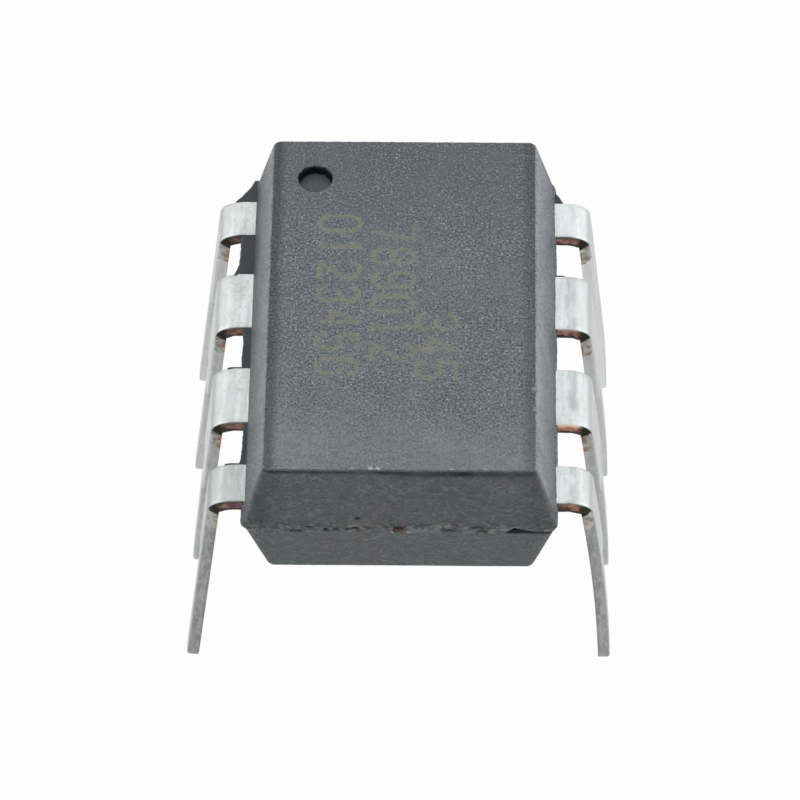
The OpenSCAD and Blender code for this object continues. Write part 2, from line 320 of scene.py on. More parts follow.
def shoulder_edge_colour(s, run, through):
    """Bare copper on the sheared edges of the shoulders, tarnished, with a drawn rim and a painted
    highlight along its top.
    """
    tarnish = s.noise(4.5, 4)
    stain = s.mix(s.steps(s.noise(3, 3), 0.44, 0.6), "brown", "purple")
    fresh = s.attribute("fresh")
    clean = s.math("ADD", tarnish, s.steps(fresh, 0.4, 1.0, 0.0, 0.16))
    copper = s.lay(stain, "copper", s.steps(clean, 0.38, 0.58), fresh)
    rim = s.math("ADD", through, s.steps(s.noise(6, 3), 0.3, 0.7, -0.35, 0.35))
    shear = s.lay(copper, "upper_rim", s.steps(rim, 0.25, 0.7))
    shear = s.lay(shear, "lower_rim", s.steps(rim, -0.35, -0.75))
    in_bend = s.math("ADD", s.steps(run, 1.1, 1.42), s.steps(tarnish, 0.3, 0.7, -0.3, 0.3))
    shear = s.lay(shear, "shadow", s.steps(in_bend, 0.3, 0.75))
    # Painted highlight: pale copper to near white along the top of the drawn rim
    drawn = s.mix(s.steps(through, 0.45, 0.85), "drawn", "drawn_rim_highlight")
    return s.lay(shear, drawn, s.attribute("burr_and_highlight"), s.steps(rim, 0.1, 0.5),
                 s.steps(run, 1.35, 1.2))


def tin_material():
    """Tin plate with streaks across the lead, and copper on the sheared shoulder edges."""
    s = Shader("tin_plate",
        streak=(0.46, 0.483, 0.48), plate=(0.62, 0.652, 0.654), cloud=(0.46, 0.485, 0.48),
        shade=(0.4, 0.418, 0.416), bend=(0.31, 0.322, 0.32), smear=(0.2, 0.208, 0.218),
        speckle=(0.34, 0.352, 0.345), fleck=(0.27, 0.285, 0.27),
        darker_plate=(0.36, 0.375, 0.372), bright=(0.84, 0.865, 0.87),
        cut=(0.25, 0.257, 0.253), brushed=(0.37, 0.377, 0.366),
        outline=(0.16, 0.165, 0.16), dent=(0.14, 0.143, 0.14), faded=(0.74, 0.75, 0.75),
        brown=(0.07, 0.045, 0.034), purple=(0.1, 0.062, 0.078),
        copper=(0.72, 0.35, 0.215), upper_rim=(0.075, 0.068, 0.066),
        lower_rim=(0.035, 0.028, 0.025), shadow=(0.03, 0.026, 0.014),
        drawn=(0.7, 0.4, 0.26), drawn_rim_highlight=(0.95, 0.85, 0.78),
        stub=(0.25, 0.24, 0.205), stub_tin=(0.44, 0.445, 0.415),
        stub_copper=(0.3, 0.165, 0.085))
    edge, run, through = s.attribute("edge"), s.attribute("run"), s.attribute("through")
    streak = s.noise(8, 4, stretch=(1, 0.14, 1), roughness=0.6)
    colour = s.mix(edge, plate_colour(s, run, streak), leg_edge_colour(s, through))
    colour = s.lay(colour, shoulder_edge_colour(s, run, through), edge, s.steps(run, 1.55, 1.47))
    ragged = s.steps(s.noise(7, 3), 0.3, 0.7, -0.4, 0.4)
    scar = s.times(s.steps(s.math("ADD", s.attribute("scar"), ragged), 0.42, 0.62), edge)
    mottle = s.mix(s.steps(s.noise(8, 3), 0.34, 0.56), "stub", "stub_tin")
    colour = s.lay(colour, mottle, scar)
    inner = s.times(s.steps(through, 0.3, -0.7), s.steps(s.noise(5, 4), 0.36, 0.56))
    colour = s.lay(colour, "stub_copper", scar, inner)
    normal = s.bump(streak, 0.006, 0.5)
    normal = s.bump(s.noise(24, 3), 0.004, 0.5, normal)
    return s.finish(colour, s.steps(streak, 0.2, 0.8, 0.5, 0.38), normal, 1.0)


def sheet_copper_material():
    """Copper sheet, tarnished brown where it was cut."""
    s = Shader("sheet_copper", dark=(0.2, 0.09, 0.055), light=(0.6, 0.3, 0.17),
        tarnish=(0.045, 0.028, 0.024), brown=(0.17, 0.08, 0.056))
    colour = s.mix(s.noise(6, 4), "dark", "light")
    tarnish = s.mix(s.steps(s.noise(5, 3), 0.4, 0.62), "tarnish", "brown")
    colour = s.lay(colour, tarnish, s.attribute("cut"))
    return s.finish(colour, 0.42, s.bump(s.noise(20, 3), 0.005, 0.5), 1.0)


def silver_epoxy_material():
    s = Shader("silver_filled_epoxy", dark=(0.42, 0.42, 0.4), light=(0.68, 0.68, 0.66))
    colour = s.mix(s.noise(15, 3), "dark", "light")
    return s.finish(colour, 0.55, s.bump(s.noise(22, 3), 0.006, 0.6), 0.6)


def silicon_material():
    """Polished silicon with the fine blocks of a circuit."""
    s = Shader("circuit_silicon", dark=(0.1, 0.11, 0.16), light=(0.3, 0.28, 0.34))
    _, block = s.cells(7)
    colour = s.mix(block, "dark", "light")
    return s.finish(colour, 0.22, s.bump(block, 0.002, 0.4), 0.7)


def gold_material():
    s = Shader("bond_gold", dark=(0.83, 0.56, 0.18), light=(0.95, 0.7, 0.28))
    colour = s.mix(s.noise(20, 2), "dark", "light")
    return s.finish(colour, 0.25, s.bump(s.noise(60, 2), 0.001, 0.5), 1.0)


def stand_for(piece, node):
    """Puts a piece in a node's place."""
    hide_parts(node)
    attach(piece, "root")


# Body. Its top is a grid whose lines lie closer together round the recess.

GRID_X = 190
GRID_Y = 250
DENSE_REACH = 0.42


def spread(count, centre, reach):
    """Grid lines from -1 to 1, three times denser within reach of a centre."""
    even = np.linspace(-1, 1, 4001)
    total = np.cumsum(1 + 2 * smooth(reach * 1.5, reach, abs(even - centre)))
    share = (total - total[0]) / (total[-1] - total[0])
    return np.interp(np.linspace(0, 1, count + 1), share, even)


TOP_HALF_WIDTH = HALF_WIDTH - UPPER_SIDE_LEAN
TOP_HALF_LENGTH = HALF_LENGTH - UPPER_END_LEAN
COLUMNS = spread(GRID_X, DOT_CENTRE[0] / TOP_HALF_WIDTH, DENSE_REACH / TOP_HALF_WIDTH)
ROWS = spread(GRID_Y, DOT_CENTRE[1] / TOP_HALF_LENGTH, DENSE_REACH / TOP_HALF_LENGTH)


def round_corner(x, y, half_x, half_y, radius):
    """Maps a point of a rectangle into the same rectangle with round corners."""
    inner_x = np.clip(x, radius - half_x, half_x - radius)
    inner_y = np.clip(y, radius - half_y, half_y - radius)
    dx, dy = x - inner_x, y - inner_y
    if abs(dx) < 1e-9 or abs(dy) < 1e-9:
        return x, y
    big, small = max(abs(dx), abs(dy)), min(abs(dx), abs(dy))
    turn = small / big * pi / 4
    if abs(dy) > abs(dx):
        turn = pi / 2 - turn
    return (inner_x + big * cos(turn) * np.sign(dx), inner_y + big * sin(turn) * np.sign(dy))


def rim_steps():
    """Grid positions round the rim, from the near left corner and anticlockwise from above."""
    return ([(i, 0) for i in range(GRID_X)] + [(GRID_X, j) for j in range(GRID_Y)]
            + [(i, GRID_Y) for i in range(GRID_X, 0, -1)] + [(0, j) for j in range(GRID_Y, 0, -1)])


def body_levels():
    """Height and inset of each ring of the body's wall, from the top down."""
    levels = []
    for k in range(1, 5):
        turn = k / 4 * EDGE_TURN
        levels.append((UPPER_HEIGHT - TOP_SINK - TOP_EDGE_RADIUS * (1 - cos(turn)),
                       TOP_EDGE_RADIUS * (1 - sin(turn))))
    levels += [(z, 0) for z in UPPER_HEIGHT - np.array([0.055, 0.075, 0.1, 0.13, 0.16])]
    levels += [(z, 0) for z in np.linspace(UPPER_HEIGHT - 0.24, 0.42, 8)]
    levels += [(z, 0) for z in np.arange(0.36, -0.19, -0.02)]
    levels += [(z, 0) for z in np.linspace(-0.26, 0.1 - LOWER_HEIGHT, 7)]
    for k in range(4, -1, -1):
        turn = k / 4 * EDGE_TURN
        levels.append((LOW_EDGE_RADIUS * (1 - cos(turn)) - LOWER_HEIGHT,
                       LOW_EDGE_RADIUS * (1 - sin(turn))))
    return levels


def half_sizes(z):
    """Half width and half length of the body at a height about the parting plane."""
    if z > 0:
        share = z / UPPER_HEIGHT
        return HALF_WIDTH - UPPER_SIDE_LEAN * share, HALF_LENGTH - UPPER_END_LEAN * share
    share = -z / LOWER_HEIGHT
    return HALF_WIDTH - LOWER_SIDE_LEAN * share, HALF_LENGTH - LOWER_END_LEAN * share


def settle(y, z):
    """The upper half leans in a little less at the far end."""
    half_y = half_sizes(z)[1]
    return y + FAR_EXTENT * max(z, 0) / UPPER_HEIGHT * smooth(0.86, 1.0, y / half_y)


# Torn places in the near end's flash: distance along X, height, half length, half height, depth
NEAR_PITS = (
    (-2.12, -0.09, 0.13, 0.03, 0.1),
    (-1.8, 0.05, 0.1, 0.04, 0.1),
    (-1.5, -0.04, 0.05, 0.045, 0.09),
    (-1.28, -0.02, 0.05, 0.03, 0.08),
    (-1.06, -0.02, 0.06, 0.03, 0.08),
    (-0.88, 0.01, 0.07, 0.04, 0.14),
    (-0.84, 0.27, 0.05, 0.04, 0.14),
    (0.96, -0.04, 0.15, 0.024, 0.09),
    (1.56, 0.04, 0.1, 0.03, 0.12),
    (1.68, -0.06, 0.08, 0.032, 0.12),
)
# The wide gap beside them, whose upper lip falls towards the right corner: place and height
GAP_LIP = ((2.12, -0.13), (2.22, -0.04), (2.32, 0.05), (2.46, 0.03), (2.58, -0.05),
           (2.85, -0.06), (3.12, -0.11))
GAP_DEPTH = 0.14
# Extra flash at the near left corner
CORNER_LIP = 0.035
TIE_CENTRE = -0.04
TIE_OPENING = 0.095


def pit_depth(along, z):
    """Depth of the torn places at a point of the near end."""
    deepest = 0.0
    for x, height, half_x, half_z, depth in NEAR_PITS:
        if abs(along - x) < 1.5 * half_x and abs(z - height) < 2 * half_z:
            ragged = 1 + 0.35 * rough(along, 4.4, z, 7)
            away = np.hypot((along - x) / half_x, (z - height) / half_z) * ragged
            deepest = max(deepest, depth * smooth(1.15, 0.7, away))
    return max(deepest, GAP_DEPTH * in_gap(along, z) * smooth(-0.135, -0.115, z))


def in_gap(along, z):
    """1 below the lip of the wide gap and 0 outside it."""
    lip = np.interp(along, *zip(*GAP_LIP)) + 0.03 * rough(along, 4.4, 0.0, 7)
    ends = smooth(GAP_LIP[0][0], GAP_LIP[0][0] + 0.05, along) * (along < GAP_LIP[-1][0])
    return ends * smooth(0, 0.03, lip - z)


def parting_offset(side, along, z):
    """How far the band of flash stands out of the wall, in mm."""
    wave = rough(along, side * 7.1, 0.3, 3)
    fine = rough(along, side * 3.7, z, 12)
    if side != NEAR:
        rise = 0.05 if side == RIGHT and z > 0 else 0.0
        band = smooth(FLASH_HALF + rise - 0.005, FLASH_HALF + rise - 0.03, abs(z))
        wide = CORNER_LIP * smooth(-4.0, -4.15, along) if side == LEFT else 0
        wide *= smooth(-FLASH_HALF, 0.02, z)
        stand, grit = (0.022, 0.01) if side == RIGHT else (0.014, 0.006)
        return band * (stand + wide + 0.006 * wave + grit * fine)
    band = smooth(FLASH_HALF + 0.03 + 0.01 * wave, FLASH_HALF - 0.015 + 0.01 * wave, abs(z))
    lumps = rough(along, 5.3, z, 5)
    out = band * (0.002 + 0.014 * lumps + 0.014 * fine)
    ridge = smooth(0.035, 0.008, abs(z - FLASH_HALF + 0.012 - 0.014 * wave))
    out += ridge * (0.014 + 0.014 * rough(along, 2.2, 0.0, 6))
    near_left = smooth(0.35 - HALF_WIDTH, 0.15 - HALF_WIDTH, along)
    near_left *= smooth(-FLASH_HALF, 0.02, z)
    out += band * CORNER_LIP * near_left
    cover = smooth(0.2, 0.17, abs(along)) * band
    out += cover * (0.024 - out)
    at_tie = smooth(TIE_OPENING + 0.02, TIE_OPENING - 0.02, abs(along - TIE_CENTRE))
    uncovered = smooth(0.06, 0.03, z + 0.02 * fine) * smooth(-0.09, -0.05, z + 0.04 * fine)
    return out - 0.06 * at_tie * uncovered


def wall_offset(side, along, z):
    """All of the wall's relief: soft flow waves, the band of flash and the torn places."""
    out = 0.004 * rough(along, side * 9.0, z, 1.6) + 0.0025 * rough(along, side * 9.0, z, 6)
    if abs(z) < 0.2:
        out += parting_offset(side, along, z)
    return min(out, FLASH_LIP - 0.002) if side in (NEAR, FAR) else out


def rim_ring(z, inset):
    """One ring of the body's wall, and how much painted shade and how torn each of its points is.
    """
    half_x, half_y = half_sizes(z)
    ring, hollow, torn = [], [], []
    for i, j in rim_steps():
        x, y = COLUMNS[i] * half_x, ROWS[j] * half_y
        px, py = round_corner(x, y, half_x, half_y, CORNER_RADIUS)
        inner_x = np.clip(px, CORNER_RADIUS - half_x, half_x - CORNER_RADIUS)
        inner_y = np.clip(py, CORNER_RADIUS - half_y, half_y - CORNER_RADIUS)
        away = np.array([px - inner_x, py - inner_y])
        away /= np.hypot(*away)
        side = NEAR if j == 0 else RIGHT if i == GRID_X else FAR if j == GRID_Y else LEFT
        along = px if side in (NEAR, FAR) else py
        pit = pit_depth(along, z) if side == NEAR and abs(z) < 0.4 else 0.0
        stand = wall_offset(side, along, z) - inset - pit
        if inset > 0 and z > 0:
            stand += 0.007 * rough(px, py, 0.0, 12) + 0.006 * rough(px, py, 0.0, 24)
        under_edge = 0.0
        if side == NEAR and inset == 0:
            ragged = 0.02 * rough(along, 3.0, 3.0, 5)
            reach = 0.17 + 0.06 * smooth(-0.5, 0.5, px)
            under_edge = smooth(reach, reach - 0.07, UPPER_HEIGHT - z + ragged)
            under_edge *= 0.7 + 0.3 * rough(along, 6.0, 3.0, 2.5)
            stand -= 0.03 * under_edge
        ring.append((px + away[0] * stand, settle(py + away[1] * stand, z), z))
        # Painted shade on the near end: under the top edge, towards its corners above the parting
        # line, over the tie's opening and in the wide gap
        shade = 0.0
        if side == NEAR:
            shade = 0.9 * under_edge
            if z > 0:
                corner = 0.42 if px < 0 else 0.32
                shade = max(shade, corner * smooth(HALF_WIDTH - 1.0, HALF_WIDTH - 0.3, abs(px)))
            at_tie = smooth(TIE_OPENING + 0.03, TIE_OPENING - 0.01, abs(px - TIE_CENTRE))
            shade = max(shade, 0.8 * at_tie * smooth(0.035, 0.01, abs(z - 0.075)))
            gap_shade = 0.66 + 0.25 * rough(px, 8.0, z, 5)
            shade = max(shade, gap_shade * in_gap(px, z) * smooth(-0.165, -0.145, z))
        # Painted shade in the torn pits, or the shade above, whichever is darker
        hollow.append(max(0.82 * smooth(0.01, 0.05, pit), shade))
        torn.append(smooth(0.17, 0.11, abs(z)) if side == NEAR else 0.0)
    return ring, hollow, torn


# Plain digits on a grid 4 wide and 6 high, with a slash between strokes
DIGITS = {
    "0": "1,0 3,0 4,1 4,5 3,6 1,6 0,5 0,1 1,0",
    "1": "1,5 2,6 2,0 / 1,0 3,0",
    "2": "0,5 1,6 3,6 4,5 4,4 0,0 4,0",
    "3": "0,5 1,6 3,6 4,5 4,4 3,3 4,2 4,1 3,0 1,0 0,1 / 1.6,3 3,3",
    "4": "3,0 3,6 0,2 4,2",
    "5": "4,6 0,6 0,3.5 3,3.5 4,2.5 4,1 3,0 1,0 0,1",
    "6": "4,5 3,6 1,6 0,5 0,1 1,0 3,0 4,1 4,2.5 3,3.5 0,3.5",
    "7": "0,6 4,6 1.6,0",
    "8": "1,3 0,4 0,5 1,6 3,6 4,5 4,4 3,3 1,3 0,2 0,1 1,0 3,0 4,1 4,2 3,3",
    "9": "0,1 1,0 3,0 4,1 4,5 3,6 1,6 0,5 0,3.5 1,2.5 4,2.5",
}
# Text, foot along X and start along Y of each row
MARK_ROWS = (("0123456", -1.72, 2.35), ("789012", -0.6, 2.1), ("345", 0.3, -0.3))
MARK_HEIGHT = 0.82
MARK_WIDTH = 0.4
MARK_STEP = 0.64
MARK_STROKE = 0.052


def mark_strokes():
    """Every stroke of the marked rows. They read towards the near end, with their tops to +X."""
    strokes = []
    for text, foot_x, start_y in MARK_ROWS:
        for place, digit in enumerate(text):
            for line in DIGITS[digit].split("/"):
                grid = [map(float, point.split(",")) for point in line.split()]
                points = [(foot_x + v / 6 * MARK_HEIGHT,
                           start_y - place * MARK_STEP - u / 4 * MARK_WIDTH) for u, v in grid]
                strokes += zip(points[:-1], points[1:])
    return strokes


def mark_strength(x, y):
    """0 to 1 over arrays of points: how strongly each is marked."""
    nearest = np.full(x.shape, 9.0)
    for (ax, ay), (bx, by) in mark_strokes():
        dx, dy = bx - ax, by - ay
        t = np.clip(((x - ax) * dx + (y - ay) * dy) / (dx * dx + dy * dy), 0, 1)
        nearest = np.minimum(nearest, np.hypot(x - ax - t * dx, y - ay - t * dy))
    return smooth(MARK_STROKE + 0.02, MARK_STROKE - 0.015, nearest)


# Pale bits beside the cut tie: distance along X and height
TIE_CHIPS = ((-0.14, -0.11), (0.08, -0.1), (0.17, -0.12))

# Small pale burrs left on the edges of the top: place and height. CHIP_SIZE is fully pale.
CHIP_SIZE = 0.032
NEAR_EDGE = 0.04 - TOP_HALF_LENGTH
RIGHT_EDGE = TOP_HALF_WIDTH - 0.06
EDGE_BURRS = (
    (-0.58, NEAR_EDGE, 0.034), (-0.43, NEAR_EDGE, 0.03), (-0.95, NEAR_EDGE, 0.012),
    (1.05, NEAR_EDGE, 0.014), (1.72, NEAR_EDGE, 0.012), (-2.1, NEAR_EDGE, 0.01),
    (RIGHT_EDGE, -2.26, 0.028), (RIGHT_EDGE, -2.8, 0.024),
)


def dot_inside(x, y):
    """Distance inside the rim of the round recess, whose far side is ragged."""
    dx, dy = x - DOT_CENTRE[0], y - DOT_CENTRE[1]
    turn = atan2(dy, dx)
    ragged = smooth(-0.2, 0.5, sin(turn))
    rim = DOT_RADIUS + 0.004 * rough(cos(turn), sin(turn), 0.5, 5)
    rim += ragged * (0.012 + 0.02 * rough(cos(turn), sin(turn), 2.5, 13))
    return rim - np.hypot(dx, dy)


def top_height(x, y):
    """Relief of the top face, in mm: the recess, the grain and the burrs on the near edge."""
    out = -DOT_DEPTH * smooth(-0.004, 0.026, dot_inside(x, y))
    out += 0.003 * rough(x, y, 0.0, 9)
    for at_x, at_y, size in EDGE_BURRS:
        out += size * smooth(0.06, 0.01, np.hypot(x - at_x, y - at_y))
    return out


def underside(rim):
    """Points and faces that close the bottom rim, with its two round ejector marks.

    The faces count from the start of the rim."""
    count = EJECTOR_POINTS
    points, faces, outlines = [], [], [[Vector(p) for p in rim]]
    number = list(range(len(rim)))
    for end in (-1, 1):
        centre_y = end * (HALF_LENGTH - LOWER_END_LEAN - EJECTOR_INSET)
        turns = [k / count * tau for k in range(count)]
        circle = [(EJECTOR_RADIUS * cos(t), centre_y + EJECTOR_RADIUS * sin(t)) for t in turns]
        outer = len(rim) + len(points)
        inner = outer + count
        points += [(x, y, -LOWER_HEIGHT) for x, y in circle]
        points += [(0.99 * x, centre_y + 0.99 * (y - centre_y), EJECTOR_DEPTH - LOWER_HEIGHT)
                   for x, y in circle]
        faces += [(outer + k, inner + k, inner + (k + 1) % count, outer + (k + 1) % count)
                  for k in range(count)]
        faces.append(tuple(inner + k for k in reversed(range(count))))
        outlines.append([Vector((x, y, -LOWER_HEIGHT)) for x, y in circle])
        number += range(outer, inner)
    for a, b, c in tessellate_polygon(outlines):
        a, b, c = number[a], number[b], number[c]
        (ax, ay, _), (bx, by, _), (cx, cy, _) = [(rim + points)[n] for n in (a, b, c)]
        turn = (bx - ax) * (cy - ay) - (by - ay) * (cx - ax)
        faces.append((a, c, b) if turn > 0 else (a, b, c))
    return points, faces


# Painted side light: how pale the walls are at each height, on the right and on the left
PAINTED_LIGHT_HEIGHTS = (-0.15, 0.1, 0.6, 1.1, 1.55)
PAINTED_LIGHT_RIGHT = (0.3, 0.14, 0.4, 0.72, 0.95)
PAINTED_LIGHT_LEFT = (0.16, 0.0, 0.15, 0.4, 0.6)


def body_finish(points, top_rim, hollow, torn):
    """What the epoxy's shader reads at each point. The top's points start at top_rim."""
    x, y, z = np.array(points).T
    on_top = np.arange(len(points)) >= top_rim
    wander = np.array([rough(px, 0.0, 4.0, 1.3) for px in x])
    near_band = smooth(-2.4, -3.9, y + 0.5 * wander + 0.1 * x)
    in_dot = smooth(DOT_RADIUS, DOT_RADIUS - 0.05,
                    np.hypot(x - DOT_CENTRE[0], y - DOT_CENTRE[1]))
    on_end = smooth(HALF_LENGTH - 0.35, HALF_LENGTH - 0.2, abs(y))
    grained = 1 + 0.3 * smooth(3.2, 1.2, y) - np.maximum(0.7 * near_band, 0.8 * in_dot)
    # Painted side light on the walls, paler higher up and more on the right; the top is paler
    # towards its near end
    painted_side_light = np.where(x > 0, np.interp(z, PAINTED_LIGHT_HEIGHTS, PAINTED_LIGHT_RIGHT),
                     np.interp(z, PAINTED_LIGHT_HEIGHTS, PAINTED_LIGHT_LEFT))
    pale_and_painted_side_light = np.where(on_top, 0.05 + 0.2 * smooth(4.2, 0.5, y) + 0.17 * near_band,
                    painted_side_light * (1 - on_end))
    # Painted shade along the top's long edges, more on the left, and on the recess's floor. The
    # left wall darkens towards its foot over its far part, and the ends low down.
    shaded = smooth(0.34, 0.1, TOP_HALF_WIDTH - abs(x) + 0.12 * wander)
    shaded *= np.where(x < 0, 0.52, 0.4)
    far_left = 0.5 * smooth(0.9, 0.15, z) * smooth(-1.2, 3.6, y) * (x < 0) * (z > -0.15)
    low_end = 0.09 * on_end * smooth(-0.12, -0.2, z)
    dim = np.where(on_top, shaded + 0.12 * in_dot, far_left * (1 - on_end) + low_end)
    chip = np.zeros(len(points))
    for at_x, at_y, size in EDGE_BURRS:
        away = np.hypot(x - at_x, y - at_y)
        chip = np.maximum(chip, on_top * smooth(0.055, 0.02, away) * size / CHIP_SIZE)
    near_end = ~on_top & (y < 0.1 - HALF_LENGTH)
    for at, height in TIE_CHIPS:
        away = np.hypot(x - at, z - height)
        chip = np.maximum(chip, near_end * smooth(0.045, 0.015, away))
    return {"mark": np.where(on_top, mark_strength(x, y), 0), "torn": torn, "chip": chip,
            "coarse": np.where(on_top, grained, 0.8 - 0.6 * on_end),
            "pale_and_painted_side_light": pale_and_painted_side_light * (1 - 0.7 * in_dot), "hollow": np.maximum(hollow, dim),
            "flow": np.where(on_top, 0, on_end)}


def build_body(material):
    rings = [rim_ring(z, inset) for z, inset in body_levels()]
    points, hollow, torn = (sum(lists, []) for lists in zip(*rings))
    count = len(rim_steps())
    faces = []
    for row in range(len(rings) - 1):
        for k in range(count):
            n = (k + 1) % count
            a, b = row * count, (row + 1) * count
            faces.append((a + k, b + k, b + n, a + n))
    flat_from = len(faces)
    last = (len(rings) - 1) * count
    base_points, base_faces = underside(points[last:])
    faces += [tuple(last + k for k in face) for face in base_faces]
    points += base_points
    hollow += [0.0] * len(base_points)
    torn += [0.0] * len(base_points)
    flat_to = len(faces)

    # The top face is a grid whose rim is the first ring of the wall
    half_x, half_y = half_sizes(UPPER_HEIGHT)
    half_x -= TOP_EDGE_RADIUS
    half_y -= TOP_EDGE_RADIUS
    grid = {}
    top_rim = len(points)
    for i in range(GRID_X + 1):
        for j in range(GRID_Y + 1):
            x, y = COLUMNS[i] * half_x, ROWS[j] * half_y
            x, y = round_corner(x, y, half_x, half_y, CORNER_RADIUS - TOP_EDGE_RADIUS)
            inside = dot_inside(x, y)
            # Painted shade on the recess's far wall and on the floor just below it
            far_wall = smooth(-0.1, 0.12, y - DOT_CENTRE[1])
            reach = 0.065 + 0.015 * rough(x, y, 0.0, 7)
            hollow.append(far_wall * smooth(-0.008, 0.002, inside) * smooth(reach, 0.03, inside))
            torn.append(0.0)
            grid[i, j] = len(points)
            edge = min(half_x - abs(x), half_y - abs(y))
            z = UPPER_HEIGHT - TOP_SINK + top_height(x, y) * smooth(0, 0.04, edge)
            points.append((x, settle(y, UPPER_HEIGHT), min(z, UPPER_HEIGHT - 0.001)))
    for i in range(GRID_X):
        for j in range(GRID_Y):
            faces.append((grid[i, j], grid[i + 1, j], grid[i + 1, j + 1], grid[i, j + 1]))
    rim = [grid[step] for step in rim_steps()]
    for k in range(count):
        n = (k + 1) % count
        faces.append((rim[k], k, n, rim[n]))

    body = make_object("moulded_body", points, faces, material,
                       body_finish(points, top_rim, hollow, torn))
    for k in range(flat_from, flat_to):
        body.data.polygons[k].use_smooth = False
    stand_for(body, "package_body")


# Swept pieces

def sweep(name, loops, material, attributes, turned):
    """A closed skin over loops with the same number of points, with flat ends."""
    points = [p for loop in loops for p in loop]
    count, rows = len(loops[0]), len(loops)
    faces = [tuple(range(count))[::-1], tuple((rows - 1) * count + k for k in range(count))]
    for r in range(rows - 1):
        a, b = r * count, (r + 1) * count
        faces += [(a + k, a + (k + 1) % count, b + (k + 1) % count, b + k)
                  for k in range(count)]
    if turned:
        faces = [face[::-1] for face in faces]
    return make_object(name, points, faces, material, attributes)


# Flash between the leads, as thick as their sheet

FLASH_INSIDE = 0.12


def flash_loop(side, y, reach):
    """Section of the flash at one place along the body, with a worn outer edge."""
    inner = HALF_WIDTH - FLASH_INSIDE
    outer = HALF_WIDTH + max(reach, 0.004)
    loop = []
    for share in np.linspace(0, 1, 10):
        x = inner + (outer - inner - 0.02) * share
        loop.append((side * x, y, FLASH_HALF - 0.006 + 0.004 * rough(x, y, 0.0, 6)))
    for height in np.linspace(FLASH_HALF - 0.03, 0.03 - FLASH_HALF, 6):
        x = outer - 0.012 + 0.012 * rough(y, height, side, 9)
        loop.append((side * x, y, height))
    loop.append((side * (outer - 0.02), y, 0.004 - FLASH_HALF))
    loop.append((side * inner, y, 0.004 - FLASH_HALF))
    return loop


def build_flash(name, side, outline, material):
    """Flash on one side of the body. outline gives (y, reach beyond the body), far to near."""
    ys = np.linspace(outline[0][0], outline[-1][0], 50)
    known = [p[0] for p in outline][::-1]
    reaches = np.interp(ys, known, [p[1] for p in outline][::-1])
    loops = []
    for y, reach in zip(ys, reaches):
        ragged = reach * (1 + 0.07 * rough(y, 3.0, side, 6)) + 0.006 * rough(y, 1.0, side, 20)
        loops.append(flash_loop(side, y, ragged))
    obj = sweep(name, loops, material, {}, side < 0)
    stand_for(obj, "package_body")


# Leads

# Handling has bent each lead a little. Its leg starts to bend at SHIFT_DROP.
SHIFT_DROP = 0.8
TIP_SHIFT = (-0.2, -0.12, -0.04, 0.0, 0.0, -0.12, -0.25, -0.34)  # tips, along the body
TIP_OUT = (0.01, 0.01, -0.035, 0.0, 0.0, 0.0, 0.0, 0.0)  # tips, outward
LEG_HOLLOW = (0.0, 0.0, 0.0, 0.0, 0.0, 0.015, 0.03, 0.04)  # middle of the legs, inward

# Finish of each lead: smear above the bend, darker or lighter plate, faded edges of the leg,
# fresh copper on the shoulder's edge with a drawn rim and its painted highlight, and dark flecks
FINISH_NAMES = ("drag", "darker_plate", "bright", "fade", "fresh", "burr_and_highlight", "flecks")
FINISH = (
    (0.2, 0.0, 0.14, 0.55, 0.2, 0.0, 0.5),
    (0.3, 0.0, 0.16, 0.42, 0.32, 0.1, 0.85),
    (0.2, 0.0, 0.14, 0.28, 0.28, 0.1, 0.6),
    (0.3, 0.35, 0.0, 0.0, 0.3, 0.0, 0.15),
    (0.7, 0.0, 0.22, 0.0, 0.4, 0.1, 0.4),
    (0.9, 0.0, 0.25, 0.3, 0.5, 1.0, 0.45),
    (0.8, 0.0, 0.25, 0.5, 0.4, 0.4, 0.4),
    (0.5, 0.0, 0.35, 0.9, 0.45, 0.1, 0.3),
)

# The punch leaves the far edges of the shoulders a little proud of the nominal width
FAR_EXTRA = (0.0, 0.05, 0.03, 0.03, 0.03, 0.03, 0.03, 0.0)

# The punch also draws the lower edge of each shoulder down, on its near side
SHEAR_DROP = 0.035

# The bend starts as a gentle droop and then turns more tightly into the leg
DROOP_RADIUS = 0.62
DROOP_TURN = 30
TIGHT_RADIUS = 0.2


def low_edge(row):
    return row * PITCH - (LEG_WIDTH if row < -1 else SHOULDER_WIDTH) / 2


def high_edge(row):
    return row * PITCH + (LEG_WIDTH if row > 1 else SHOULDER_WIDTH) / 2


def bend_start(splay):
    """Where the droop starts, for the leg to lie where the single bend of the sheet puts it."""
    lean, droop, turn = radians(splay), radians(DROOP_TURN), radians(90 - splay)
    across = DROOP_RADIUS * sin(droop) + TIGHT_RADIUS * (sin(turn) - sin(droop))
    down = DROOP_RADIUS * (1 - cos(droop)) + TIGHT_RADIUS * (cos(droop) - cos(turn))
    middle = BEND_RADIUS + SHEET / 2
    leg = BEND_X * cos(lean) + middle * (1 - sin(lean))
    return (leg - across * cos(lean) + down * sin(lean)) / cos(lean)


